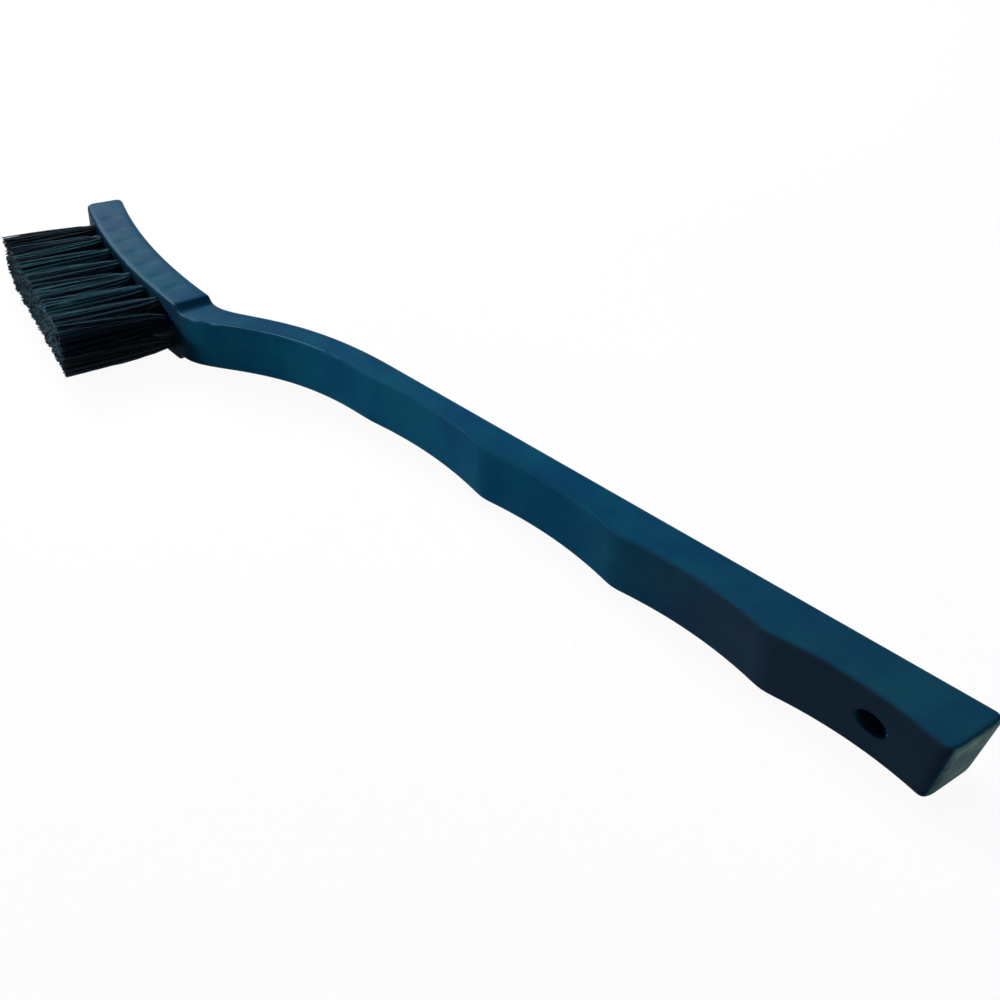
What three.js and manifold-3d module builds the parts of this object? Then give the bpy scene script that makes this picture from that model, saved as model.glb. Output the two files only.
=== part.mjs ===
// Anti-static brush of the toothbrush pattern. One moulding of conductive plastic is both the
// handle and the head. Rows of filament tufts stand in blind holes in the head, each folded over
// a flat metal anchor that is driven in with it. Nothing on the brush moves.
//
// Millimetres. The brush lies on its side: +X runs from the head to the tail, the tufts point
// towards -Y and +Z is up. It is drawn about its middle plane, with the tail's end at x = 0 and
// the straight back at y = 0, and is set on its base at the end.
import * as THREE from 'three';
import { mergeGeometries, mergeVertices } from 'three/addons/utils/BufferGeometryUtils.js';
import Module from 'manifold-3d';

const wasm = await Module();
wasm.setup();

// Handle: straight along its back, with finger grooves along the face that the tufts point from
const tailWidth = 7.9;
const neckWidth = 7.2;
const tailDepth = 8.4;
const ridgeDepth = 4.45;
const grooveCount = 4;
const longestGroove = 26;
const grooveShortening = 1.1;
const grooveDepth = 1.2;
const tailLand = 1;
const handleEdge = 0.5;
const tailCorner = 0.8;
const tailLean = THREE.MathUtils.degToRad(17);

// Hanging hole, an oval through the handle from its grooved face to its back
const hangLength = 4.3;
const hangWidth = 2.6;
const hangFromTail = 10.2;

// Neck: an S that drops the head below the line of the handle's back
const neckLength = 32.9;
const neckDrop = 8.05;
const backSweepAtHandle = 22.4;
const backSweepAtHead = 6.1;
const faceSweepAtHandle = 22;
const faceSweepAtHead = 6.5;
const firstRidgeHollow = 0.95;

// Head: a slab between two arcs of one centre, wider than the neck by a step on each side
const headLength = 50.9;
const headWidth = 9;
const headThickness = 6;
const headFaceRadius = 164;
const headLead = 7.2;
const headEdge = 0.5;
const headCorner = 1.2;
const stepRun = 2.2;

// Tuft field: staggered rows along the head
const rowCount = 4;
const tuftsPerRow = 7;
const headRim = 0.8;
const neckMargin = 5.2;
const tipMargin = 9.4;
const holeDiameter = 1.8;
const holeFloor = 1.4;
const tuftLean = THREE.MathUtils.degToRad(9.5);

// Filaments: trimmed to a plane, spread along the row, and splayed at the tip of the head
const trimLength = 14.5;
const trimTilt = THREE.MathUtils.degToRad(13.3);
const strandRadius = 0.15;
const strandRings = 2;
const strandsPerRing = 5;
const spreadAlongRow = 2.2;
const spreadAcrossRow = 0.76;
const tipSplay = THREE.MathUtils.degToRad(11);
const splayReach = 2.5;

// Slice of the head's face that carries a row of tufts
const sliceThickness = 0.9;
const sliceGap = 0.3;

// Anchors: flat metal strips across the bottoms of the holes
const anchorLength = 2.2;
const anchorHeight = 1.3;
const anchorThickness = 0.3;
const anchorGap = 0.15;
const bundleGap = 0.15;

// How finely curves are drawn
const grooveSteps = 8;
const neckSteps = 14;
const headSteps = 18;
const stepSteps = 4;
const cornerSteps = 3;
const edgeSteps = 3;
const holeSides = 12;
const hangSides = 24;
const overcut = 2;

const grooveLengths = Array.from({ length: grooveCount }, (_, i) => longestGroove - i * grooveShortening);
const gripLength = grooveLengths.reduce((sum, length) => sum + length, tailLand);
const headBackRadius = headFaceRadius - headThickness;
const neckAngle = Math.asin(headLead / headBackRadius);
const arcCentre = new THREE.Vector2(
  headLead - gripLength - neckLength,
  headBackRadius * Math.cos(neckAngle) - neckDrop,
);
const rowPitch = (headWidth - 2 * headRim) / rowCount;
const tuftPitch = (headLength - neckMargin - tipMargin) / (tuftsPerRow - 0.5);
const holeDepth = headThickness - holeFloor;
const bundleRadius = holeDiameter / 2 - bundleGap;
const anchorDepth = holeDepth - anchorHeight / 2;

// A point of the head at an angle round the arcs' centre, counted from straight below it
function onArc(radius, angle) {
  const x = arcCentre.x - radius * Math.sin(angle);
  const y = arcCentre.y - radius * Math.cos(angle);
  return new THREE.Vector2(x, y);
}

// The way towards the tail along those arcs
function arcTangent(angle) {
  return new THREE.Vector2(Math.cos(angle), -Math.sin(angle));
}

function toSolid(geometry) {
  const bare = geometry.clone();
  bare.deleteAttribute('normal');
  bare.deleteAttribute('uv');
  const merged = mergeVertices(bare);
  const vertProperties = new Float32Array(merged.getAttribute('position').array);
  const triVerts = new Uint32Array(merged.index.array);
  return new wasm.Manifold(new wasm.Mesh({ numProp: 3, vertProperties, triVerts }));
}

function toGeometry(solid) {
  const mesh = solid.getMesh();
  const geometry = new THREE.BufferGeometry();
  geometry.setAttribute('position', new THREE.BufferAttribute(mesh.vertProperties, 3));
  geometry.setIndex(new THREE.BufferAttribute(mesh.triVerts, 1));
  geometry.computeVertexNormals();
  return geometry;
}

// Sections of the moulding, from the tail to the tip of the head. Each runs from a point on the
// back to a point on the grooved face, with half the width there and the radius of its edges.
function gripSection(x) {
  let grooveStart = -tailLand;
  let groove = grooveCount - 1;
  while (groove > 0 && grooveStart - grooveLengths[groove] > x) {
    grooveStart -= grooveLengths[groove];
    groove -= 1;
  }
  const along = Math.max((grooveStart - x) / grooveLengths[groove], 0);
  const ridge = THREE.MathUtils.lerp(tailDepth, ridgeDepth, -x / gripLength);
  const depth = ridge - 4 * grooveDepth * along * (1 - along);
  return {
    back: new THREE.Vector2(x, 0),
    face: new THREE.Vector2(x, -depth),
    half: THREE.MathUtils.lerp(tailWidth, neckWidth, -x / gripLength) / 2,
    edge: handleEdge,
  };
}

const grip = gripSection(-gripLength);
const neckBackEnd = onArc(headBackRadius, neckAngle);
const neckFaceEnd = onArc(headFaceRadius, neckAngle);
const neckBack = new THREE.CubicBezierCurve(
  grip.back,
  grip.back.clone().add(new THREE.Vector2(-backSweepAtHandle, 0)),
  neckBackEnd.clone().addScaledVector(arcTangent(neckAngle), backSweepAtHead),
  neckBackEnd,
);
const neckFace = new THREE.CubicBezierCurve(
  grip.face,
  grip.face.clone().add(new THREE.Vector2(-faceSweepAtHandle, firstRidgeHollow)),
  neckFaceEnd.clone().addScaledVector(arcTangent(neckAngle), faceSweepAtHead),
  neckFaceEnd,
);

function neckSection(t) {
  return {
    back: neckBack.getPoint(t),
    face: neckFace.getPoint(t),
    half: neckWidth / 2,
    edge: handleEdge,
  };
}

// The head's sections are counted along its tuft face. It widens over the step in a hollow curve.
function headSection(along) {
  const angle = neckAngle + along / headFaceRadius;
  const climb = Math.min(along / stepRun, 1) ** 2;
  return {
    back: onArc(headBackRadius, angle),
    face: onArc(headFaceRadius, angle),
    half: THREE.MathUtils.lerp(neckWidth, headWidth, climb) / 2,
    edge: THREE.MathUtils.lerp(handleEdge, headEdge, climb),
  };
}

// A section drawn in on every side, which rounds the two ends of the moulding
function drawnIn(section, inset) {
  const across = section.face.clone().sub(section.back).normalize();
  return {
    back: section.back.clone().addScaledVector(across, inset),
    face: section.face.clone().addScaledVector(across, -inset),
    half: section.half - inset,
    edge: Math.max(section.edge - inset, section.edge / 4),
  };
}

// The end of the tail leans in below its upper corner, towards the side that the brush lies on. A
// point there moves along the grip, and the lean fades out on the way to the hanging hole.
function leanTail(point) {
  const below = Math.max(tailWidth / 2 - tailCorner - point.z, 0);
  const fade = Math.max(1 + point.x / hangFromTail, 0);
  if (fade === 0) return;
  const x = point.x - Math.tan(tailLean) * below * fade;
  point.y *= gripSection(x).face.y / gripSection(point.x).face.y;
  point.x = x;
}

// One rounded rectangle of points round a section
function sectionRing({ back, face, half, edge }) {
  const middle = back.clone().add(face).multiplyScalar(0.5);
  const across = face.clone().sub(back);
  const halfDepth = across.length() / 2;
  const radius = Math.min(edge, halfDepth, half);
  across.normalize();
  const ring = [];
  for (let corner = 0; corner < 4; corner += 1) {
    for (let i = 0; i <= edgeSteps; i += 1) {
      const angle = (corner + i / edgeSteps) * Math.PI / 2;
      const acrossSign = corner === 0 || corner === 3 ? 1 : -1;
      const upSign = corner < 2 ? 1 : -1;
      const out = acrossSign * (halfDepth - radius) + radius * Math.cos(angle);
      const up = upSign * (half - radius) + radius * Math.sin(angle);
      ring.push(new THREE.Vector3(middle.x + out * across.x, middle.y + out * across.y, up));
    }
  }
  return ring;
}

// A closed skin over a row of rings, with a flat cap at each end
function loft(rings) {
  const count = rings[0].length;
  const points = rings.flat();
  const indices = [];
  for (let r = 0; r + 1 < rings.length; r += 1) {
    for (let i = 0; i < count; i += 1) {
      const a = r * count + i;
      const b = r * count + (i + 1) % count;
      indices.push(a, b, a + count, b, b + count, a + count);
    }
  }
  const last = (rings.length - 1) * count;
  for (let i = 1; i + 1 < count; i += 1) {
    indices.push(0, i + 1, i);
    indices.push(last, last + i, last + i + 1);
  }
  const geometry = new THREE.BufferGeometry().setFromPoints(points);
  geometry.setIndex(indices);
  return geometry;
}

// Even steps from start to end, both included
function steps(start, end, count) {
  return Array.from({ length: count + 1 }, (_, i) => THREE.MathUtils.lerp(start, end, i / count));
}

function mouldingSections() {
  const turns = steps(0, Math.PI / 2, cornerSteps);
  const tail = turns.map((turn) => {
    const x = -tailCorner * (1 - Math.cos(turn));
    return drawnIn(gripSection(x), tailCorner * (1 - Math.sin(turn)));
  });
  const sections = [...tail];
  let start = -tailLand;
  let end = -tailLand;
  for (const length of [...grooveLengths].reverse()) {
    end -= length;
    sections.push(...steps(start, end, grooveSteps).slice(1).map(gripSection));
    start = end;
  }
  sections.push(...steps(0, 1, neckSteps).slice(1).map(neckSection));
  const tip = headLength - headCorner;
  sections.push(...steps(0, stepRun, stepSteps).slice(1).map(headSection));
  sections.push(...steps(stepRun, tip, headSteps).slice(1).map(headSection));
  sections.push(...turns.slice(1).map((turn) => {
    const along = tip + headCorner * Math.sin(turn);
    return drawnIn(headSection(along), headCorner * (1 - Math.cos(turn)));
  }));
  return sections;
}

// An arc-shaped slab of the head between two radii, with flats that meet at places along its face
function arcSlab(innerRadius, outerRadius, places, width) {
  const angles = places.map((along) => neckAngle + along / headFaceRadius);
  const outer = angles.map((angle) => onArc(outerRadius, angle));
  const inner = angles.map((angle) => onArc(innerRadius, angle));
  const shape = new THREE.Shape([...outer, ...inner.reverse()]);
  const slab = new THREE.ExtrudeGeometry(shape, { depth: width, bevelEnabled: false });
  return slab.translate(0, 0, -width / 2);
}

// The slices' flats: one under each place where a tuft of any row can stand
const sliceStart = neckMargin - tuftPitch / 4;
const sliceFinish = headLength - tipMargin + tuftPitch / 4;
const flats = steps(sliceStart, sliceFinish, 2 * tuftsPerRow);

// Tufts: where each stands on the face. Every second row is set half a pitch towards the neck.
function rowTufts(row) {
  const z = ((rowCount - 1) / 2 - row) * rowPitch;
  const shift = row % 2 === 0 ? tuftPitch / 2 : 0;
  return Array.from({ length: tuftsPerRow }, (_, i) => {
    const along = neckMargin + shift + i * tuftPitch;
    const root = onArc(headFaceRadius, neckAngle + along / headFaceRadius);
    return { along, root: new THREE.Vector3(root.x, root.y, z) };
  });
}

const rows = Array.from({ length: rowCount }, (_, row) => rowTufts(row));

// The frame of a tuft hole: its mouth at the origin, with -Y out of it
function holeFrame(tuft) {
  const frame = new THREE.Matrix4().makeRotationZ(-tuftLean);
  return frame.setPosition(tuft.root);
}

// A round bar of a hole's frame, between two depths
function holeBar(tuft, radius, from, to) {
  const bar = new THREE.CylinderGeometry(radius, radius, to - from, holeSides);
  bar.translate(0, (from + to) / 2, 0);
  return toSolid(bar.applyMatrix4(holeFrame(tuft)));
}

// A flat block of a hole's frame that lies where the anchor does, grown by a gap all round
function anchorBlock(tuft, gap) {
  const length = anchorLength + 2 * gap;
  const height = anchorHeight + 2 * gap;
  const block = new THREE.BoxGeometry(length, height, anchorThickness + 2 * gap);
  block.translate(0, anchorDepth, 0);
  return toSolid(block.applyMatrix4(holeFrame(tuft)));
}

function makeHandle() {
  const rings = mouldingSections().map(sectionRing);
  rings.flat().forEach(leanTail);
  let solid = toSolid(loft(rings));
  const oval = new THREE.Shape();
  oval.absellipse(0, 0, hangLength / 2, hangWidth / 2, 0, 2 * Math.PI, false, 0);
  const hole = new THREE.ExtrudeGeometry(oval, {
    depth: tailDepth + 2 * overcut,
    bevelEnabled: false,
    curveSegments: hangSides,
  });
  hole.rotateX(Math.PI / 2);
  hole.translate(-hangFromTail, overcut, 0);
  solid = solid.subtract(toSolid(hole));

  const bedRadius = headFaceRadius - sliceThickness - sliceGap;
  const bedFlats = [sliceStart - sliceGap, ...flats, sliceFinish + sliceGap];
  const bedWidth = rowCount * rowPitch + sliceGap;
  const bed = arcSlab(bedRadius, headFaceRadius + overcut, bedFlats, bedWidth);
  solid = solid.subtract(toSolid(bed));
  for (const tuft of rows.flat()) {
    solid = solid.subtract(holeBar(tuft, holeDiameter / 2, 0, holeDepth));
    solid = solid.subtract(anchorBlock(tuft, anchorGap));
  }
  return toGeometry(solid);
}

// A three-sided filament from a root to a tip
const strandSection = new THREE.Shape(
  steps(0, 2 * Math.PI, 3).slice(1).map(
    (turn) => new THREE.Vector2(strandRadius * Math.cos(turn), strandRadius * Math.sin(turn)),
  ),
);
const up = new THREE.Vector3(0, 0, 1);

function strand(root, tip) {
  const run = tip.clone().sub(root);
  const bar = new THREE.ExtrudeGeometry(strandSection, { depth: run.length(), bevelEnabled: false });
  bar.applyQuaternion(new THREE.Quaternion().setFromUnitVectors(up, run.clone().normalize()));
  return bar.translate(root.x, root.y, root.z);
}

// A direction in the profile plane, leaning from straight out towards the tip of the head
function leaning(angle) {
  return new THREE.Vector3(-Math.sin(angle), -Math.cos(angle), 0);
}

const fieldMiddle = (neckMargin + headLength - tipMargin) / 2;
const middleRoot = onArc(headFaceRadius, neckAngle + fieldMiddle / headFaceRadius);
const trimPoint = new THREE.Vector3(middleRoot.x, middleRoot.y, 0);
trimPoint.addScaledVector(leaning(tuftLean), trimLength);
const trimNormal = leaning(trimTilt);

// Where filaments stand in a tuft of radius 1: one in the middle and rings of more round it
function strandSpots() {
  const spots = [new THREE.Vector2(0, 0)];
  for (let ring = 1; ring <= strandRings; ring += 1) {
    const count = ring * strandsPerRing;
    for (let i = 0; i < count; i += 1) {
      const turn = (i + 0.5 * (ring % 2)) / count * 2 * Math.PI;
      const reach = ring / strandRings;
      spots.push(new THREE.Vector2(reach * Math.cos(turn), reach * Math.sin(turn)));
    }
  }
  return spots;
}

const spots = strandSpots();

// The filaments of one tuft, from inside its slice to the trim plane
function tuftStrands(tuft) {
  const fromTip = headLength - tipMargin - tuft.along;
  const lean = tuftLean + tipSplay * Math.exp(-fromTip / splayReach);
  const axis = leaning(lean);
  const alongRow = new THREE.Vector3(axis.y, -axis.x, 0);
  const rootReach = bundleRadius - strandRadius;
  return spots.map((spot) => {
    const root = tuft.root.clone().addScaledVector(leaning(tuftLean), -sliceThickness / 2);
    root.addScaledVector(alongRow, rootReach * spot.x);
    root.z += rootReach * spot.y;
    const aim = tuft.root.clone().addScaledVector(axis, trimLength);
    aim.addScaledVector(alongRow, spreadAlongRow * spot.x);
    aim.z += spreadAcrossRow * spot.y;
    const way = aim.sub(root).normalize();
    const reach = trimPoint.clone().sub(root).dot(trimNormal) / way.dot(trimNormal);
    return strand(root, root.clone().addScaledVector(way, reach));
  });
}

// One row: its slice of the face, the folded ends of its tufts in their holes, and its filaments
function makeTuftRow(tufts) {
  const slice = arcSlab(headFaceRadius - sliceThickness, headFaceRadius, flats, rowPitch - sliceGap);
  let solid = toSolid(slice.translate(0, 0, tufts[0].root.z));
  for (const tuft of tufts) {
    const bundle = holeBar(tuft, bundleRadius, sliceThickness / 2, holeDepth - bundleGap);
    solid = solid.add(bundle.subtract(anchorBlock(tuft, anchorGap)));
  }
  const strands = mergeGeometries(tufts.flatMap(tuftStrands));
  return toGeometry(solid.add(toSolid(strands)));
}

const conductivePlastic = new THREE.MeshStandardMaterial({ color: 0x16405e, roughness: 0.45 });
const conductiveFilament = new THREE.MeshStandardMaterial({ color: 0x13262f, roughness: 0.4 });
const anchorBrass = new THREE.MeshStandardMaterial({ color: 0xb59a5b, roughness: 0.35, metalness: 1 });

const brush = new THREE.Group();

function addPiece(name, geometry, material) {
  const piece = new THREE.Mesh(geometry, material);
  piece.name = name;
  brush.add(piece);
}

addPiece('handle', makeHandle(), conductivePlastic.clone());
rows.forEach((tufts, row) => {
  addPiece(`tuft_row_${row + 1}`, makeTuftRow(tufts), conductiveFilament.clone());
  tufts.forEach((tuft, i) => {
    addPiece(`anchor_${row + 1}_${i + 1}`, toGeometry(anchorBlock(tuft, 0)), anchorBrass.clone());
  });
});

// The origin is under the middle of the brush, on the surface that it lies on
const extent = new THREE.Box3().setFromObject(brush);
const middle = extent.getCenter(new THREE.Vector3());
brush.position.set(-middle.x, -middle.y, -extent.min.z);

export default brush;
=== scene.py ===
# %% [markdown]
# # A moulded anti-static brush
#
# The brush is a slim hand tool of conductive plastic. One moulding makes its handle, its S-shaped
# neck and its curved head, and four rows of bristle tufts stand in blind holes of the head. Flat
# brass anchors hold the tufts in.

# %% Load the frame
import math
import random

import bmesh
import bpy
from mathutils import Matrix, Vector
from mathutils.geometry import interpolate_bezier


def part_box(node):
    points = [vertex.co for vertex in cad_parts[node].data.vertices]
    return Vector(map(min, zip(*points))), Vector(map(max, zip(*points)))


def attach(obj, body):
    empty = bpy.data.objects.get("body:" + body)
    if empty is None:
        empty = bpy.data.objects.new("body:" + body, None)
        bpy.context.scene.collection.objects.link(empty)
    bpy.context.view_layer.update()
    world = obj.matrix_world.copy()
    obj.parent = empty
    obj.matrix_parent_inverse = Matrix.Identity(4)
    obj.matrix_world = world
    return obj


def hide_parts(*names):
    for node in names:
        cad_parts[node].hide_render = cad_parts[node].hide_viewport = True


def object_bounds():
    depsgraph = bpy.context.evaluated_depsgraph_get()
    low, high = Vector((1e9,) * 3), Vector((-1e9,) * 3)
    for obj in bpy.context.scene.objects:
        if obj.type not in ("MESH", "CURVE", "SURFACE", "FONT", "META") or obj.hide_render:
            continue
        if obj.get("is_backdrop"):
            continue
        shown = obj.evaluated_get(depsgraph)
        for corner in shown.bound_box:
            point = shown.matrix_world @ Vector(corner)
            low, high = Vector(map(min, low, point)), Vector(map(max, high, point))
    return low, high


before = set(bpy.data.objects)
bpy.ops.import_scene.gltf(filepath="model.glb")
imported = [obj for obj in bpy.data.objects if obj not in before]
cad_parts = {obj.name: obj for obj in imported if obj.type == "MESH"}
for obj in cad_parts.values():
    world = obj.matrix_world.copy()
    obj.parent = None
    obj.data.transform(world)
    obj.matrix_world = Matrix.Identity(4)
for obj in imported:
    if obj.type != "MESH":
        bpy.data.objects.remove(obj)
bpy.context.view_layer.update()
print("nodes in the frame:", len(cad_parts))

# %% [markdown]
# ## The camera
#
# The brush lies on its flat side and the camera stands close to the tail, looking down along the
# handle. That is why the tail looks so much bigger than the head. A camera that is close needs
# its exact place, so the numbers below come from matching the corners of the model to the picture.

# %% Camera
MM = 0.001
CAMERA_PLACE = Vector((147.394, -95.408, 101.401)) * MM
CAMERA_DIP, CAMERA_TURN = 31.2095, 50.253

scene = bpy.context.scene
scene.view_settings.view_transform = "Standard"
camera = bpy.data.objects.new("camera", bpy.data.cameras.new("camera"))
scene.collection.objects.link(camera)
scene.camera = camera
camera.data.sensor_width = 36
camera.data.lens = 55.306
camera.data.clip_start = 0.005
camera.location = CAMERA_PLACE
camera.rotation_euler = (math.radians(90 - CAMERA_DIP), 0, math.radians(CAMERA_TURN))
print("camera stands", round(camera.location.z / MM), "mm above the floor")

# %% [markdown]
# ## The outline of the grip
#
# Seen from above, the handle has a straight back and a grooved face. Four shallow finger grooves
# follow each other from the tail to the neck, each a little longer than the last, and the handle
# gets thinner on the way. The brush is drawn in millimetres from its tail end, with the back along
# Y = 0, because a tool of this size is easier to think about in millimetres. Each finished piece is
# carried to the frame, in metres, at the end.

# %% Grip outline
TAIL_DEPTH, RIDGE_DEPTH = 8.4, 4.45
TAIL_WIDTH, NECK_WIDTH = 7.9, 7.2
GROOVES = (22.7, 23.8, 24.9, 26.0)
GROOVE_DEPTH, GROOVE_PLACES = 1.2, 28
TAIL_LAND, TAIL_ROUND, TAIL_CORNER = 1.0, 0.5, 1.3
GRIP = TAIL_LAND + sum(GROOVES)
QUARTER = [math.radians(15 * i) for i in range(7)]


def between(a, b, t):
    return a + (b - a) * t


def grip_depth(distance):
    """How far the grooved face stands from the back, at a distance from the tail end."""
    depth = between(TAIL_DEPTH, RIDGE_DEPTH, distance / GRIP)
    start = TAIL_LAND
    for length in GROOVES:
        t = (distance - start) / length
        if 0 < t < 1:
            depth -= 4 * GROOVE_DEPTH * t * (1 - t)
        start += length
    return depth


def rounding(radius, distance):
    """How far a rounded end draws in, at a distance from the end."""
    short = max(0, radius - distance)
    return radius - math.sqrt(radius ** 2 - short ** 2)


places = [TAIL_CORNER * (1 - math.cos(turn)) for turn in QUARTER]
ridge = TAIL_LAND
for groove in GROOVES:
    places += [ridge + groove * i / GROOVE_PLACES for i in range(1, GROOVE_PLACES + 1)]
    ridge += groove
inset_line = [rounding(TAIL_ROUND, x) for x in places]
corner_line = [rounding(TAIL_CORNER, x) for x in places]
back_line = [Vector((-x, 0, 0)) for x in places]
face_line = [Vector((-x, -grip_depth(x), 0)) for x in places]
half_line = [between(TAIL_WIDTH, NECK_WIDTH, x / GRIP) / 2 for x in places]
print("grip:", round(GRIP, 1), "mm long, drawn at", len(places), "places")

# %% [markdown]
# ## The outline of the neck
#
# The neck sweeps sideways in an S from the last ridge to the head. A cubic curve on each side does
# that with two handles: one leaves along the grip and the other arrives along the head's arc.
# Blender has the curve as a helper, so no formula is needed.

# %% Neck outline
NECK, NECK_DROP, NECK_PLACES = 32.9, 8.05, 40
HEAD_LEAD, FACE_RADIUS, BACK_RADIUS = 7.2, 164.0, 158.0
BACK_LEAVE, BACK_ARRIVE = Vector((-22.4, 0, 0)), 6.1
FACE_LEAVE, FACE_ARRIVE = Vector((-22, 0.95, 0)), 6.5
NECK_ANGLE = math.asin(HEAD_LEAD / BACK_RADIUS)
ARC_MIDDLE = Vector((HEAD_LEAD - GRIP - NECK, BACK_RADIUS * math.cos(NECK_ANGLE) - NECK_DROP, 0))


def on_arc(radius, angle):
    """A point of the head's arc, where the angle grows towards the tip."""
    return ARC_MIDDLE + radius * Vector((-math.sin(angle), -math.cos(angle), 0))


def neck_line(start, leave, radius, arrive):
    """One side of the neck, from the last ridge to the head's arc."""
    end = on_arc(radius, NECK_ANGLE)
    back_along = Vector((math.cos(NECK_ANGLE), -math.sin(NECK_ANGLE), 0))
    handles = start + leave, end + arrive * back_along
    return interpolate_bezier(start, *handles, end, NECK_PLACES + 1)[1:]


back_line += neck_line(back_line[-1], BACK_LEAVE, BACK_RADIUS, BACK_ARRIVE)
face_line += neck_line(face_line[-1], FACE_LEAVE, FACE_RADIUS, FACE_ARRIVE)
half_line += [NECK_WIDTH / 2] * NECK_PLACES
inset_line += [0] * NECK_PLACES
corner_line += [0] * NECK_PLACES
print("neck ends", round(back_line[-1].y, 2), "mm beside the back")

# %% [markdown]
# A mould maker never leaves a ridge knife-sharp. Averaging each point of the grooved line with its
# neighbours, twice over, rounds a ridge along about three millimetres and leaves the long curves as
# they are.

# %% Soften the ridges
FIRST_RIDGE = len(QUARTER) - 1 + GROOVE_PLACES


def softened(line):
    inner = [(a + 2 * b + c) / 4 for a, b, c in zip(line, line[1:], line[2:])]
    return [line[0], *inner, line[-1]]


sharp_ridge = face_line[FIRST_RIDGE].copy()
face_line = softened(softened(face_line))
print("ridge lowered by", round((face_line[FIRST_RIDGE] - sharp_ridge).length, 3), "mm")

# %% [markdown]
# ## The outline of the head
#
# The head is a slice of a large ring, 6 mm thick, so its two long sides are arcs about one middle.
# It is wider than the neck, and a small step climbs from the neck to the head's flat side, hollow
# at its foot and steep at its top. The tip is cut a little askew, so the tuft face ends a
# millimetre before the back does. The places along the head are chosen so that lines fall between
# the tufts, which makes it easy to cut the tuft holes later.

# %% Head outline
HEAD, HEAD_WIDTH, STEP = 50.9, 9.0, 2.2
TIP_ROUND, TIP_CORNER, TIP_SKEW, SKEW_RUN = 0.7, 1.6, 1.0, 8.0
TUFT_PITCH, TUFTS, NECK_MARGIN, TIP_MARGIN = 5.585, 7, 5.2, 9.4
FIELD = (NECK_MARGIN - TUFT_PITCH / 4, HEAD - TIP_MARGIN + TUFT_PITCH / 4)
STEP_PLACES, LEAD_PLACES, CELL_PLACES, TIP_PLACES = 14, 3, 5, 8


def spaced(start, end, count):
    return [between(start, end, i / count) for i in range(1, count + 1)]


head_places = spaced(0, STEP, STEP_PLACES) + spaced(STEP, FIELD[0], LEAD_PLACES)
head_places += spaced(*FIELD, 2 * TUFTS * CELL_PLACES)
head_places += spaced(FIELD[1], HEAD - TIP_CORNER, TIP_PLACES)
head_places += [HEAD - TIP_CORNER * (1 - math.sin(turn)) for turn in QUARTER[1:]]
climbs = softened([min(s / STEP, 1) ** 3 for s in [0, *head_places]])[1:]
for s, climb in zip(head_places, climbs):
    skew = TIP_SKEW * max(0, 1 - (HEAD - s) / SKEW_RUN)
    back_line.append(on_arc(BACK_RADIUS, NECK_ANGLE + s / FACE_RADIUS))
    face_line.append(on_arc(FACE_RADIUS, NECK_ANGLE + (s - skew) / FACE_RADIUS))
    half_line.append(between(NECK_WIDTH, HEAD_WIDTH, climb) / 2)
    inset_line.append(rounding(TIP_ROUND, HEAD - s))
    corner_line.append(rounding(TIP_CORNER, HEAD - s))
print("tip at", [round(c, 1) for c in face_line[-1].xy], "after", len(face_line), "places")

# %% [markdown]
# ## Sweep the bar
#
# Every slice of the handle is a rectangle, so one square can make them all. The square starts at
# the tail, and for each place on the way it is extruded and carried on by a matrix that holds the
# rectangle's two sides and its middle. At both ends the rectangles draw in along quarter circles, a
# large one for the corners seen from above and a small one for the flat sides. The first extrude
# leaves the tail open, so it is filled at the end. A curve with a bevel profile could sweep too,
# but it can't change its width and its depth apart from each other.

# %% Sweep
def section(back, face, half, inset, corner):
    """The matrix that lays a unit square across the bar at one place."""
    across, up = face - back, Vector((0, 0, 2 * half - 2 * inset))
    across -= 2 * corner * across.normalized()
    turned = Matrix((across, up, across.cross(up).normalized())).transposed().to_4x4()
    return Matrix.Translation((back + face) / 2) @ turned


def closed(bm):
    """True where every edge has a face on both sides."""
    return all(e.is_manifold for e in bm.edges)


lines = (back_line, face_line, half_line, inset_line, corner_line)
sections = [section(*slice_values) for slice_values in zip(*lines)]
bar = bmesh.new()
square = bmesh.ops.create_grid(bar, x_segments=1, y_segments=1, size=0.5, matrix=sections[0])
end = square["verts"][0].link_faces[0]
long_edges = []
for before, after in zip(sections, sections[1:]):
    end = bmesh.ops.extrude_discrete_faces(bar, faces=[end])["faces"][0]
    bmesh.ops.transform(bar, matrix=after @ before.inverted(), verts=end.verts)
    long_edges += [e for v in end.verts for e in v.link_edges if e.other_vert(v) not in end.verts]
bmesh.ops.holes_fill(bar, edges=[e for e in bar.edges if e.is_boundary], sides=4)
bmesh.ops.recalc_face_normals(bar, faces=bar.faces)
print("bar:", len(bar.faces), "faces, closed:", closed(bar))

# %% [markdown]
# ## Lean the tail's end
#
# The end of the tail isn't square. It leans in by 17 degrees towards the side that the brush lies
# on, so an eye above the table sees only a narrow slip of it. Each corner near the tail moves along
# the grip by its depth below the end's upper edge, and keeps to the grooved face as it goes. The
# lean fades out on the way to the hanging hole.

# %% Lean of the tail
TAIL_LEAN = math.radians(17)
HANG_X = -10.2

for corner in bar.verts:
    if corner.co.x > HANG_X:
        x, below = corner.co.x, TAIL_WIDTH / 2 - TAIL_ROUND - corner.co.z
        corner.co.x -= math.tan(TAIL_LEAN) * below * (1 - x / HANG_X)
        corner.co.y *= grip_depth(-corner.co.x) / grip_depth(-x)
print("tail reaches", round(max(corner.co.x for corner in bar.verts), 3), "mm past its end")

# %% [markdown]
# ## Round the long edges
#
# The sections already round both ends. What is sharp is the four long edges that the corners of the
# square have drawn, and one bevel rounds them by nearly half a millimetre, which is about what a
# steel mould leaves. A bevel modifier could round them later, but then the holes below couldn't be
# cut into the rounded bar.

# %% Long edges
EDGE_ROUND = 0.45


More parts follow.
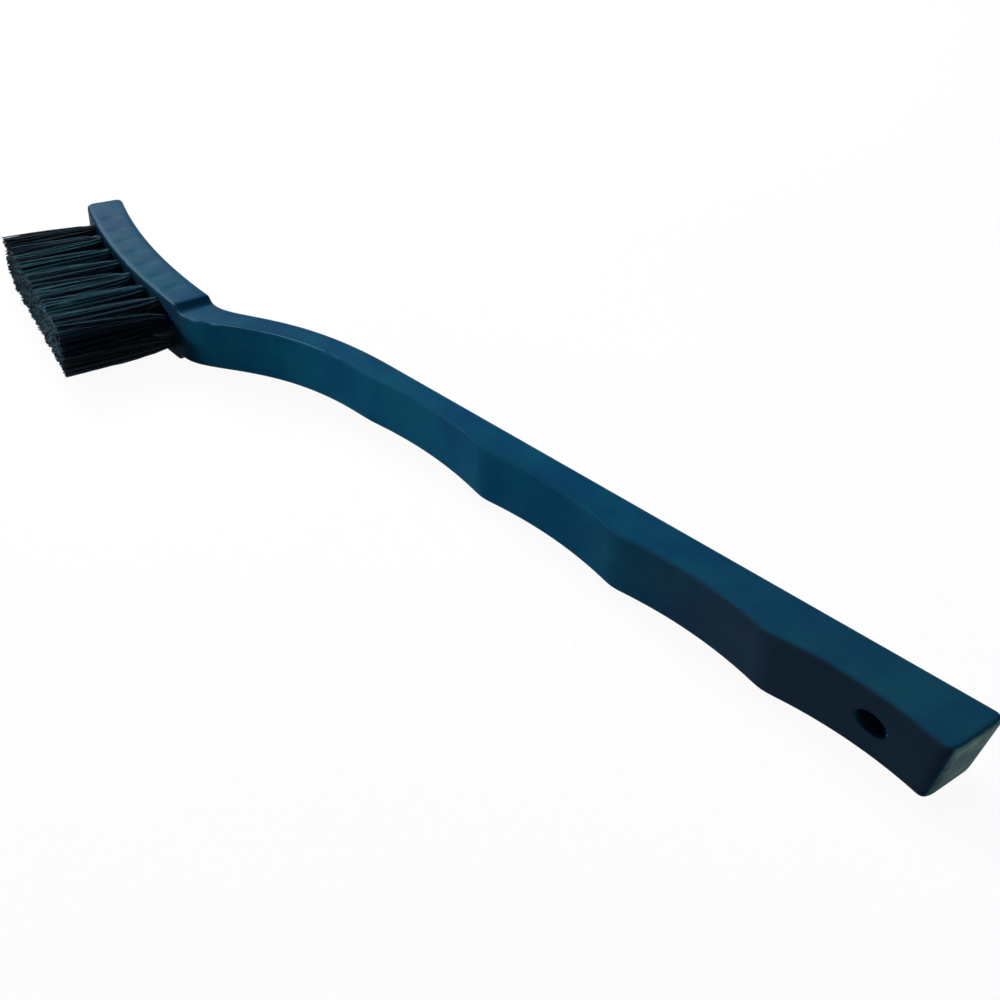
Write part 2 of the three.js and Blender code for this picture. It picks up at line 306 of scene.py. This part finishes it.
def round_off(edges, offset, segments):
    bmesh.ops.bevel(
        bar, geom=edges, offset=offset, segments=segments, affect="EDGES", profile=0.5,
        material=-1, clamp_overlap=True,
    )


round_off(long_edges, EDGE_ROUND, segments=4)
print("rounded", len(long_edges), "edges, closed:", closed(bar))

# %% [markdown]
# ## The hanging hole
#
# An oval hole goes through the tail from the grooved face to the back. A window of faces on each
# side is joined to one, inset, and its inner corners are drawn onto the oval. With both inner faces
# taken out, bridging the two rims makes the wall of the hole, and a small bevel takes off its lip.

# %% Hanging hole
HANG_LENGTH, HANG_WIDTH, HANG_LIP = 4.3, 2.4, 0.15
WINDOW_REACH, WINDOW_INSET, WINDOW_CUTS = HANG_LENGTH / 2 + 1, 0.2, 7


def standing_faces():
    """The faces of the bar that stand upright on the table."""
    return [f for f in bar.faces if abs(f.normal.z) < 0.05]


def upright(edge):
    return abs(edge.verts[0].co.z - edge.verts[1].co.z) > 0.9 * edge.calc_length()


def hang_window(side):
    """One oval face, on the grooved face (-1) or on the back (1)."""
    wall = [f for f in standing_faces() if f.normal.y * side > 0.5]
    near = [f for f in wall if abs(f.calc_center_median().x - HANG_X) < WINDOW_REACH]
    pane = bmesh.ops.dissolve_faces(bar, faces=near)["region"][0]
    bmesh.ops.bisect_edges(bar, edges=[e for e in pane.edges if upright(e)], cuts=WINDOW_CUTS)
    bmesh.ops.inset_individual(bar, faces=[pane], thickness=WINDOW_INSET)
    for corner in pane.verts:
        out = Vector(((corner.co.x - HANG_X) / HANG_LENGTH, corner.co.z / HANG_WIDTH)).normalized()
        x, z = HANG_X + out.x * HANG_LENGTH / 2, out.y * HANG_WIDTH / 2
        corner.co = (x, 0 if side > 0 else -grip_depth(-x), z)
    return pane


panes = [hang_window(-1), hang_window(1)]
rims = [e for pane in panes for e in pane.edges]
bmesh.ops.delete(bar, geom=panes, context="FACES_ONLY")
hole_wall = bmesh.ops.bridge_loops(bar, edges=rims)["faces"]
round_off(rims, HANG_LIP, segments=3)
print("hanging hole with", len(hole_wall), "sides, closed:", closed(bar))

# %% [markdown]
# ## The tuft holes
#
# Twenty-eight blind holes take the tufts, in four rows that are set off by half a pitch. The sweep
# has already left lines across the tuft face. Cutting the face lengthwise, between the rows, makes
# a net of small cells in which each hole has a few cells of its own.

# %% Cells between the rows
ROWS, ROW_PITCH = 4, 1.85


def along_head(point):
    """How far a point is along the head, measured on its tuft face."""
    arm = point - ARC_MIDDLE
    return (math.atan2(-arm.x, -arm.y) - NECK_ANGLE) * FACE_RADIUS


def behind_face(point):
    """How far a point is behind the tuft face."""
    return FACE_RADIUS - (point.xy - ARC_MIDDLE.xy).length


def tuft_face():
    middles = [(f, f.calc_center_median()) for f in standing_faces()]
    outer = [(f, c) for f, c in middles if behind_face(c) < 0.1]
    return [f for f, c in outer if FIELD[0] < along_head(c) < FIELD[1]]


for line in range(-(ROWS // 2), ROWS // 2 + 1):
    bed = tuft_face()
    bed_edges = dict.fromkeys(e for f in bed for e in f.edges)
    bed_corners = dict.fromkeys(v for f in bed for v in f.verts)
    bmesh.ops.bisect_plane(
        bar, geom=[*bed, *bed_edges, *bed_corners],
        plane_co=(0, 0, line * ROW_PITCH), plane_no=(0, 0, 1),
    )
print("tuft face cut into", len(tuft_face()), "cells")

# %% [markdown]
# The cells of a hole are joined to one face, inset to a circle and extruded inwards along the lean
# of the tufts, just as the drill goes in. A boolean with 28 rods would cut the holes too, but it
# leaves long thin triangles on the curved face, and they spoil its shading.

# %% Drill the tuft holes
TUFT_LEAN = math.radians(9.5)
HOLE_RADIUS, HOLE_DEPTH = 0.86, 4.6
MOUTH_INSET, MOUTH_CUTS = 0.03, 3


def leaning(angle):
    """The way out of the face, leaning towards the tip of the head."""
    return Vector((-math.sin(angle), -math.cos(angle), 0))


def row_tufts(row):
    """Where the tufts of a row stand: along the head, and above its mid-plane."""
    shift = TUFT_PITCH / 2 if row % 2 == 0 else 0
    up = ((ROWS - 1) / 2 - row) * ROW_PITCH
    return [(NECK_MARGIN + shift + i * TUFT_PITCH, up) for i in range(TUFTS)]


def drill(along, up):
    middles = [(f, f.calc_center_median()) for f in tuft_face()]
    level = [(f, c) for f, c in middles if abs(c.z - up) < ROW_PITCH / 2]
    cells = [f for f, c in level if abs(along_head(c) - along) < TUFT_PITCH / 4]
    mouth = bmesh.ops.dissolve_faces(bar, faces=cells)["region"][0]
    bmesh.ops.bisect_edges(bar, edges=[e for e in mouth.edges if upright(e)], cuts=MOUTH_CUTS)
    bmesh.ops.inset_individual(bar, faces=[mouth], thickness=MOUTH_INSET)
    for corner in mouth.verts:
        out = Vector((along_head(corner.co) - along, corner.co.z - up)).normalized() * HOLE_RADIUS
        corner.co = on_arc(FACE_RADIUS, NECK_ANGLE + (along + out.x) / FACE_RADIUS)
        corner.co.z = up + out.y
    bottom = bmesh.ops.extrude_discrete_faces(bar, faces=[mouth])["faces"][0]
    bmesh.ops.translate(bar, vec=-HOLE_DEPTH * leaning(TUFT_LEAN), verts=bottom.verts)


for row in range(ROWS):
    for along, up in row_tufts(row):
        drill(along, up)
bmesh.ops.recalc_face_normals(bar, faces=bar.faces)
print("drilled", ROWS * TUFTS, "holes, closed:", closed(bar))

# %% [markdown]
# ## Sink marks
#
# Thick plastic shrinks as it cools, and over each hole the flat side of the head pulls in by about
# a tenth of a millimetre. On a matt side such marks show as soft bars. The side is divided into a
# fine grid there, and the grid dips over the holes of the nearest row. A bump in the finish would
# be less work, but it would be missing from the shape.

# %% Sink marks on the head's sides
SINK, SINK_CUTS = 0.15, 7
BAR_BEHIND, BAR_LENGTH, BAR_BREADTH = 2.7, 1.3, 0.8
SIDE_SPAN = (STEP + 0.4, HEAD - TIP_CORNER - 0.3)


def bell(distance, breadth):
    """1 at no distance, and next to nothing beyond twice the breadth."""
    return math.exp(-((distance / breadth) ** 2))


def side_faces(sign):
    flat = [f for f in bar.faces if f.normal.z * sign > 0.99]
    return {f for f in flat if SIDE_SPAN[0] < along_head(f.calc_center_median()) < SIDE_SPAN[1]}


for sign, row in ((1, 0), (-1, ROWS - 1)):
    flat = side_faces(sign)
    rungs = [e for e in bar.edges if flat.issuperset(e.link_faces)]
    cut = bmesh.ops.subdivide_edges(bar, edges=rungs, cuts=SINK_CUTS, use_grid_fill=True)
    for dot in (part for part in cut["geom_inner"] if isinstance(part, bmesh.types.BMVert)):
        along = along_head(dot.co)
        bars = sum(bell(along - home, BAR_BREADTH) for home, up in row_tufts(row))
        dot.co.z -= sign * SINK * bell(behind_face(dot.co) - BAR_BEHIND, BAR_LENGTH) * bars
print("sides have", len(side_faces(1)), "and", len(side_faces(-1)), "faces")

# %% [markdown]
# ## Carry a finished piece to the frame
#
# The frame is in metres, with its origin under the middle of the whole brush. One matrix carries
# the drawing there.

# %% Handle piece
TAIL_PLACE = (90.44591, 14.51640, 4.5)
TO_FRAME = Matrix.Scale(MM, 4) @ Matrix.Translation(TAIL_PLACE)
SHARP = math.radians(42)


def add_piece(name, bm, node):
    bmesh.ops.transform(bm, matrix=TO_FRAME, verts=bm.verts)
    mesh = bpy.data.meshes.new(name)
    bm.to_mesh(mesh)
    bm.free()
    mesh.shade_smooth()
    mesh.set_sharp_from_angle(angle=SHARP)
    piece = bpy.data.objects.new(name, mesh)
    scene.collection.objects.link(piece)
    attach(piece, "root")
    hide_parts(node)
    return piece


handle = add_piece("moulded_handle", bar, "handle")
evened = handle.modifiers.new("even shading", "WEIGHTED_NORMAL")
evened.keep_sharp = True
low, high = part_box("handle")
off = []
for axis in range(3):
    spans = [corner[axis] for corner in handle.bound_box]
    off.append(max(abs(min(spans) - low[axis]), abs(max(spans) - high[axis])))
print("handle is off its CAD box by", [round(o / MM, 3) for o in off], "mm")

# %% [markdown]
# ## The path of a filament
#
# A tuft is a pinch of stiff filaments, folded in half over its anchor, so it leaves its hole as a
# tight round bundle and fans out until it meets its neighbours. All tips are trimmed on one
# slanting plane. The last tufts by the tip of the head lean outwards, and those by the neck are
# looser, with a few bent filaments. Hair particles could be combed into this shape by hand, but a
# path that is worked out gives the same tuft on each run.

# %% Where a filament goes
FILAMENTS, FILAMENT_STEPS = 96, 7
TRIM_LENGTH, TRIM_TILT = 14.5, math.radians(13.3)
GOLDEN_TURN, ROOT_DEPTH, BUNDLE_RADIUS, FAN = 2.39996, 1.5, 0.76, 2.8
TOP_RISE, LOW_RISE, MIDDLE_RISE, LOOSE_RISE = 0.9, 1.1, 1.7, 1.3
TIP_SPLAY, SPLAY_RUN, LOOSE_RUN = math.radians(2), 2.5, 1.5
CALM_BEND, WILD_BEND, NECK_WILD, LOW_WILD = 0.16, 0.8, 0.10, 0.03
FLARE = (0.25, 0.7)
LOWEST = 0.45 - HEAD_WIDTH / 2
field_middle = (NECK_MARGIN + HEAD - TIP_MARGIN) / 2
trim_point = on_arc(FACE_RADIUS, NECK_ANGLE + field_middle / FACE_RADIUS)
trim_point += TRIM_LENGTH * leaning(TUFT_LEAN)


def filament_spot(index, chance):
    """Where a filament leaves its hole, on a disc of radius 1."""
    ring = math.sqrt((index + 0.5) / FILAMENTS)
    turn = index * GOLDEN_TURN + chance.uniform(-0.3, 0.3)
    return Vector((ring * math.cos(turn), ring * math.sin(turn)))


def filament_path(along, up, spot, chance):
    """The middle line of one filament, from inside its hole to the trim plane."""
    from_neck, from_tip = along - NECK_MARGIN, HEAD - TIP_MARGIN - along
    way = leaning(TUFT_LEAN + TIP_SPLAY * math.exp(-from_tip / SPLAY_RUN))
    row_way = Vector((way.y, -way.x, 0))
    hole = on_arc(FACE_RADIUS, NECK_ANGLE + along / FACE_RADIUS) + Vector((0, 0, up))
    mouth = BUNDLE_RADIUS * (spot.x * row_way + Vector((0, 0, spot.y)))
    top_side = spot.y > 0 and up > ROW_PITCH
    low_side = spot.y < 0 and up < -ROW_PITCH
    rise = MIDDLE_RISE + LOOSE_RISE * bell(from_neck, LOOSE_RUN)
    rise = TOP_RISE if top_side else LOW_RISE if low_side else rise
    lift = max(LOWEST - up, rise * spot.y + chance.gauss(0, 0.1 if low_side else 0.2))
    fan = (FAN * spot.x + chance.gauss(0, 0.25)) * row_way + Vector((0, 0, lift))
    trim = leaning(TRIM_TILT)
    length = (trim_point - hole - fan).dot(trim) / way.dot(trim) + chance.gauss(0, 0.07)
    wild = NECK_WILD * math.exp(-from_neck / TUFT_PITCH) + (0 if top_side else LOW_WILD)
    bend = chance.gauss(0, CALM_BEND if chance.random() > wild else WILD_BEND)
    flare = chance.uniform(*FLARE)
    bow = bend * row_way + Vector((0, 0, chance.gauss(0, 0.1)))
    path = [hole + mouth - ROOT_DEPTH * leaning(TUFT_LEAN)]
    for t in (i / (FILAMENT_STEPS - 1) for i in range(FILAMENT_STEPS)):
        spread = mouth.lerp(fan, t ** flare)
        path.append(hole + length * t * way + spread + math.sin(math.pi * t) * bow)
    return path


sample = filament_path(*row_tufts(0)[3], Vector((0, 0)), random.Random(1))
print("a middle filament is", round((sample[-1] - sample[1]).length, 2), "mm long")

# %% [markdown]
# ## Grow the tufts
#
# Each filament starts as a small disc inside its hole, and the discs of a whole row are extruded
# together, step by step, each along its own path. Curves with a bevel would be quicker to write,
# but the discs keep the mesh small and let each filament carry a number for its own shade.

# %% Grow the rows
FILAMENT_RADIUS, FILAMENT_SIDES, ROW_SEED = 0.1, 5, 40
# Painted shade: how much darker the low rows by the neck and all rows by the tip are, and over what
# run.
NECK_PAINTED_SHADE, TIP_PAINTED_SHADE, PAINTED_SHADE_RUN = 0.33, 0.4, 1.5


def filament_shade(row, along, spot, chance):
    """Low for a dark filament. Upper filaments get painted light, and painted shade darkens low
    rows by the neck and all rows by the tip.
    """
    painted_shade = NECK_PAINTED_SHADE * row * bell(along - NECK_MARGIN, PAINTED_SHADE_RUN)
    painted_shade += TIP_PAINTED_SHADE * bell(along - (HEAD - TIP_MARGIN), PAINTED_SHADE_RUN)
    # The upper filaments of a tuft get a higher shade, as painted light from above; the neck and
    # tip terms are painted shade.
    return 0.8 * chance.random() + 0.1 * (1 + spot.y) - painted_shade


def grow_row(row):
    chance = random.Random(ROW_SEED + row)
    tufts = bmesh.new()
    number = tufts.faces.layers.int.new("number")
    shade = tufts.faces.layers.float.new("shade")
    reach = tufts.verts.layers.float.new("reach")
    spots = [filament_spot(i, chance) for tuft in range(TUFTS) for i in range(FILAMENTS)]
    homes = [tuft for tuft in row_tufts(row) for i in range(FILAMENTS)]
    paths = [filament_path(*home, spot, chance) for home, spot in zip(homes, spots)]
    standing = leaning(TUFT_LEAN).to_track_quat("Z", "X").to_matrix().to_4x4()
    for i, path in enumerate(paths):
        disc = bmesh.ops.create_circle(
            tufts, cap_ends=True, radius=FILAMENT_RADIUS, segments=FILAMENT_SIDES,
            matrix=Matrix.Translation(path[0]) @ standing,
        )["verts"][0].link_faces[0]
        disc[number], disc[shade] = i, filament_shade(row, homes[i][0], spots[i], chance)
    ends = tufts.faces[:]
    for step in range(FILAMENT_STEPS):
        ends = bmesh.ops.extrude_discrete_faces(tufts, faces=ends)["faces"]
        for tip in ends:
            path = paths[tip[number]]
            for corner in tip.verts:
                corner.co += path[step + 1] - path[step]
                corner[reach] = step / (FILAMENT_STEPS - 1)
    open_edges = [e for e in tufts.edges if e.is_boundary]
    bmesh.ops.holes_fill(tufts, edges=open_edges, sides=FILAMENT_SIDES)
    bmesh.ops.recalc_face_normals(tufts, faces=tufts.faces)
    return tufts


rows = []
for row in range(ROWS):
    grown = grow_row(row)
    print("row", row + 1, "has", len(grown.faces), "faces, closed:", closed(grown))
    rows.append(add_piece(f"bristle_row_{row + 1}", grown, f"tuft_row_{row + 1}"))

# %% [markdown]
# ## A short way to write finishes
#
# A finish is a small network of nodes. This class holds one output of a node, so that sums and
# products of outputs can be written as plain Python and become Math nodes. Every other node comes
# from one method: its type, its settings, and what goes into its sockets.

# %% Node wires
class Wire:
    """One output in a material's nodes."""

    def __init__(self, tree, socket=None):
        self.tree, self.socket = tree, socket

    def node(self, kind, settings, sockets, output=0):
        made = self.tree.nodes.new(kind)
        for name, value in settings.items():
            setattr(made, name, value)
        for name, value in sockets.items():
            if isinstance(value, Wire):
                self.tree.links.new(value.socket, made.inputs[name])
            else:
                made.inputs[name].default_value = value
        return Wire(self.tree, made.outputs[output] if made.outputs else None)

    def maths(self, operation, first, second):
        return self.node("ShaderNodeMath", {"operation": operation}, {0: first, 1: second})

    def __add__(self, other):
        return self.maths("ADD", self, other)

    def __radd__(self, other):
        return self.maths("ADD", other, self)

    def __sub__(self, other):
        return self.maths("SUBTRACT", self, other)

    def __rsub__(self, other):
        return self.maths("SUBTRACT", other, self)

    def __mul__(self, other):
        return self.maths("MULTIPLY", self, other)

    def __rmul__(self, other):
        return self.maths("MULTIPLY", other, self)


def new_finish(name):
    """A new material, and a wire with the place on the piece in its own coordinates."""
    material = bpy.data.materials.new(name)
    material.use_nodes = True
    material.node_tree.nodes.clear()
    return material, Wire(material.node_tree).node("ShaderNodeTexCoord", {}, {}, "Object")


def noise(place, size, detail=2.0):
    """Cloudy values from 0 to 1, with patches of about the given size in millimetres."""
    sockets = {"Vector": place, "Scale": 1 / (size * MM), "Detail": detail}
    return place.node("ShaderNodeTexNoise", {}, sockets, "Fac")


def ease(value, start, end):
    """0 below start, 1 above end, and a soft rise between."""
    return value.node("ShaderNodeMapRange", {"interpolation_type": "SMOOTHSTEP"},
                      {"Value": value, "From Min": start, "From Max": end})


def blend(share, first, second):
    """A colour between two colours."""
    return share.node("ShaderNodeMix", {"data_type": "RGBA"}, {0: share, 6: first, 7: second}, 2)


def part_of(vector, axis):
    return vector.node("ShaderNodeSeparateXYZ", {}, {0: vector}, axis)


print("wires ready")

# %% [markdown]
# ## Conductive plastic
#
# The handle is polypropylene filled with carbon: a deep petrol blue with a fine matt grain and
# hardly any gloss. Its colour also holds painted light and shade: a painted highlight in short runs
# along the near edge of the neck and on the corner of the step, a painted shadow of the tufts on
# the face round them, and painted shade on the grooved side by the tail. The tail is greyer, and
# its end is paler, almost grey, with lighter patches. The masks come from the piece itself: its
# normal finds an edge or a side, and its place, in metres, tells how far along the brush that is.
# Painting them by hand would need an unwrapped map, and these need none.

# %% Plastic masks
plastic, place = new_finish("conductive_plastic")
facing = place.node("ShaderNodeTexCoord", {}, {}, "Normal")
tailwards, backwards, upwards = (part_of(facing, axis) for axis in "XYZ")
along = part_of(place, "X")
clouds = noise(place, 7)
grain = noise(place, 0.16)
patches = noise(place, 2.2, 4.0)
rim = ease(upwards, 0.78, 0.90) * (1 - ease(upwards, 0.92, 0.98))
# Painted highlight: a pale band on the rounded near edge, in short runs, stands for light caught by
# the edge.
painted_edge_highlight = rim * ease(backwards * backwards, 0.05, 0.15) * ease(patches, 0.32, 0.52)
painted_edge_highlight = painted_edge_highlight * (1 - ease(along, -0.026, -0.008)) * (0.25 + 0.75 * ease(along, -0.050, -0.042))
# Painted highlight on the near corner of the step.
painted_corner_highlight = ease(tailwards * (0 - backwards), 0.06, 0.16) * ease(upwards, 0.35, 0.5)
painted_corner_highlight = painted_corner_highlight * (1 - ease(along, -0.036, -0.034))
painted_edge_highlight = painted_edge_highlight + 0.8 * painted_corner_highlight * ease(patches, 0.45, 0.6)
# The end of the tail is paler, and lighter still in drawn-out patches.
tail_end = ease(tailwards, 0.7, 0.95) * ease(along, 0.0860, 0.0880)
drawn_out_place = place.node("ShaderNodeMapping", {}, {"Vector": place, "Scale": (1, 0.8, 1.3)})
pale_patches = tail_end * ease(noise(drawn_out_place, 2.6, 5.0), 0.34, 0.74)
grooved_side = ease(0 - backwards, 0.5, 0.9)
# Painted shade: the grooved side darkens towards the tail.
painted_grip_shade = grooved_side * ease(along, 0.035, 0.065)
# Painted shadow: the face round the tufts is darkened where the tufts shade it.
painted_tuft_shadow = grooved_side * (1 - ease(along, -0.044, -0.036))
# Greyer towards the tail, in cloudy patches.
tail_greying = ease(along, 0.03, 0.08) * (0.4 + 0.6 * clouds)
print("plastic masks take", len(plastic.node_tree.nodes), "nodes")

# %% [markdown]
# The colours lie over each other in this order: the greyer tail and the painted shade by the tail
# first, then the painted shadow round the tufts, the painted highlight on the edges and the pale
# end.

# %% Plastic colours
PETROL, PETROL_GREEN = (0.0028, 0.048, 0.112, 1), (0.0036, 0.066, 0.122, 1)

# Shares and colours. The shade by the tail and the shadow round the tufts are painted shade, and
# the pale edge is a painted highlight.
marks = (
    (0.3 * tail_greying, (0.022, 0.055, 0.075, 1)),
    (0.7 * painted_grip_shade, (0.019, 0.025, 0.043, 1)),
    (0.75 * painted_tuft_shadow, (0.008, 0.018, 0.034, 1)),
    (0.6 * painted_edge_highlight, (0.16, 0.34, 0.42, 1)),
    (tail_end, (0.055, 0.130, 0.140, 1)),
    (pale_patches, (0.18, 0.32, 0.32, 1)),
)
colour = blend(ease(clouds, 0.3, 0.7), PETROL, PETROL_GREEN)
for share, mark in marks:
    colour = blend(share, colour, mark)
bump = place.node("ShaderNodeBump", {}, {"Strength": 0.25, "Distance": 0.02 * MM, "Height": grain})
shader = place.node("ShaderNodeBsdfPrincipled", {}, {
    "Base Color": colour,
    "Roughness": 0.34 + 0.12 * patches - 0.06 * painted_edge_highlight,
    "Specular IOR Level": 0.004,
    "Normal": bump,
})
place.node("ShaderNodeOutputMaterial", {}, {"Surface": shader})
handle.data.materials.append(plastic)
print("plastic finish has", len(plastic.node_tree.nodes), "nodes")

# %% [markdown]
# ## Filaments
#
# The filaments are thin nylon with carbon in it, nearly black with a teal gleam. No two catch the
# light alike, so each reads its own shade from the mesh, and the cut tips are paler. The upper
# filaments of a tuft get a higher shade, as painted light from above. Those low by the neck and
# those by the tip get a lower shade, which is painted shade, and where it falls below zero they
# take a neutral grey that stands for shadow. A random value for each piece wouldn't do, because a
# whole row is one piece.

# %% Filament finish
# The third colour is a neutral grey of painted shade, for filaments in shadow.
BLACK, TEAL, SHADOW_GREY = (0.009, 0.015, 0.032, 1), (0.046, 0.162, 0.205, 1), (0.062, 0.078, 0.108, 1)
DARK_TIP, PALE_TIP = (0.016, 0.050, 0.080, 1), (0.110, 0.230, 0.300, 1)

filament, place = new_finish("conductive_filament")
shade = place.node("ShaderNodeAttribute", {"attribute_name": "shade"}, {}, "Fac")
reach = place.node("ShaderNodeAttribute", {"attribute_name": "reach"}, {}, "Fac")
streak = noise(place, 0.5)
light = ease(shade, 0.38, 0.76) * (0.6 + 0.8 * streak)
colour = blend(light, BLACK, TEAL)
# Painted shade: filaments whose shade falls below zero take the neutral grey of shadow.
colour = blend(ease(0 - shade, 0.0, 0.5), colour, SHADOW_GREY)
colour = blend(ease(reach, 0.985, 1.0), colour, blend(light, DARK_TIP, PALE_TIP))
shader = place.node("ShaderNodeBsdfPrincipled", {}, {
    "Base Color": colour,
    "Roughness": 0.30 + 0.2 * streak,
    "Specular IOR Level": 0.012,
})
place.node("ShaderNodeOutputMaterial", {}, {"Surface": shader})
for piece in rows:
    piece.data.materials.append(filament)
print("filament finish on", len(rows), "rows")

# %% [markdown]
# ## Anchors
#
# The anchors are punched from brass strip. They sit out of sight at the bottom of the holes, so the
# model's own pieces are good enough, and only get a finish: noise that is drawn out along the brush
# gives the fine lines of rolling.

# %% Brass finish
DULL_BRASS, BRIGHT_BRASS = (0.47, 0.33, 0.12, 1), (0.62, 0.46, 0.20, 1)

brass, place = new_finish("anchor_brass")
long_way = place.node("ShaderNodeMapping", {}, {"Vector": place, "Scale": (1, 8, 8)})
rolled = noise(long_way, 0.8, 3.0)
shader = place.node("ShaderNodeBsdfPrincipled", {}, {
    "Base Color": blend(rolled, DULL_BRASS, BRIGHT_BRASS),
    "Metallic": 1.0,
    "Roughness": 0.28 + 0.2 * rolled,
})
place.node("ShaderNodeOutputMaterial", {}, {"Surface": shader})
anchors = [node for name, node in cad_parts.items() if name.startswith("anchor_")]
for node in anchors:
    for holder in node.material_slots:
        holder.material = brass
print("brass on", len(anchors), "anchors")

# %% [markdown]
# ## The floor
#
# The brush lies on a plain white table. The camera, and gloss that mirrors the table, see it as
# white, with a faint shadow under the brush. For all other light it is a mid grey, so that it
# doesn't light the brush from below, as a table lit up to white would.

# %% Floor
TABLE_HALF, GLOW_SHARE = 3.0, 0.94
DIRECT_RAYS = ("Is Camera Ray", "Is Glossy Ray", "Is Transmission Ray")


def seen_directly(wire):
    """1 for what the camera sees, straight on, in a mirror or through glass."""
    return sum(wire.node("ShaderNodeLightPath", {}, {}, kind) for kind in DIRECT_RAYS)


ground = bmesh.new()
bmesh.ops.create_grid(ground, x_segments=1, y_segments=1, size=TABLE_HALF)
table = bpy.data.objects.new("table", bpy.data.meshes.new("table"))
ground.to_mesh(table.data)
ground.free()
scene.collection.objects.link(table)
table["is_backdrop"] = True
white, place = new_finish("white_table")
matt = place.node("ShaderNodeBsdfDiffuse", {}, {"Color": (0.35, 0.35, 0.35, 1)})
shaded = place.node("ShaderNodeBsdfDiffuse", {}, {"Color": (0.95, 0.95, 0.95, 1)})
glow = place.node("ShaderNodeEmission", {}, {"Color": (1, 1, 1, 1), "Strength": 1.0})
bright = place.node("ShaderNodeMixShader", {}, {0: GLOW_SHARE, 1: shaded, 2: glow})
mixed = place.node("ShaderNodeMixShader", {}, {0: seen_directly(place), 1: matt, 2: bright})
place.node("ShaderNodeOutputMaterial", {}, {"Surface": mixed})
table.data.materials.append(white)
print("table is", 2 * TABLE_HALF, "m wide")

# %% [markdown]
# ## The light
#
# One wide panel hangs overhead. The key stands low beyond the head and rakes its flat side, so the
# sink marks show and the tuft face stays dark. Two narrow fills reach the neck and the middle
# grooves, and a last one the end of the tail. The room has white walls for the camera and for
# gloss, and a dim ceiling; for all other light it is dim all round, so the panels alone shape the
# brush.

# %% Light
WALL_FADE = [math.sin(math.radians(height)) for height in (18, 32)]
DIM, WHITE = (0.04, 0.045, 0.05, 1), (1, 1, 1, 1)


def panel(name, place, aim, size, power, spread=180):
    """A square lamp: place, aim and size in metres, power in watts, spread in degrees."""
    lamp = bpy.data.lights.new(name, "AREA")
    lamp.shape, lamp.size, lamp.energy = "SQUARE", size, power
    lamp.spread = math.radians(spread)
    stand = bpy.data.objects.new(name, lamp)
    scene.collection.objects.link(stand)
    stand.location = Vector(place)
    stand.rotation_euler = (Vector(aim) - Vector(place)).to_track_quat("-Z", "Y").to_euler()
    stand.visible_camera = False


panel("overhead", (-0.05, 0.12, 0.6), (-0.02, 0, 0), 0.4, 0.9)
panel("key", (-0.48, 0.10, 0.25), (-0.01, 0, 0), 0.16, 4.0)
panel("neck_fill", (-0.28, -0.42, 0.11), (-0.026, -0.004, 0.004), 0.05, 0.0090, 11)
panel("side_fill", (-0.45, -0.25, 0.12), (0.022, -0.006, 0.004), 0.04, 0.0050, 7)
panel("tail_fill", (0.42, -0.05, 0.08), (0.09, 0.01, 0.004), 0.04, 0.001, 10)
room = bpy.data.worlds.new("white_room")
scene.world = room
room.use_nodes = True
room.node_tree.nodes.clear()
way = Wire(room.node_tree).node("ShaderNodeTexCoord", {}, {}, "Generated")
low_wall = 1 - ease(part_of(way, "Z"), *WALL_FADE)
air = blend(seen_directly(way) * low_wall, DIM, WHITE)
lit = way.node("ShaderNodeBackground", {}, {"Color": air})
way.node("ShaderNodeOutputWorld", {}, {"Surface": lit})
print("panels in a white room with a dim ceiling")

# %% Finish
low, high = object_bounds()
print("visual box:", [round(c / MM, 2) for c in high - low], "mm")
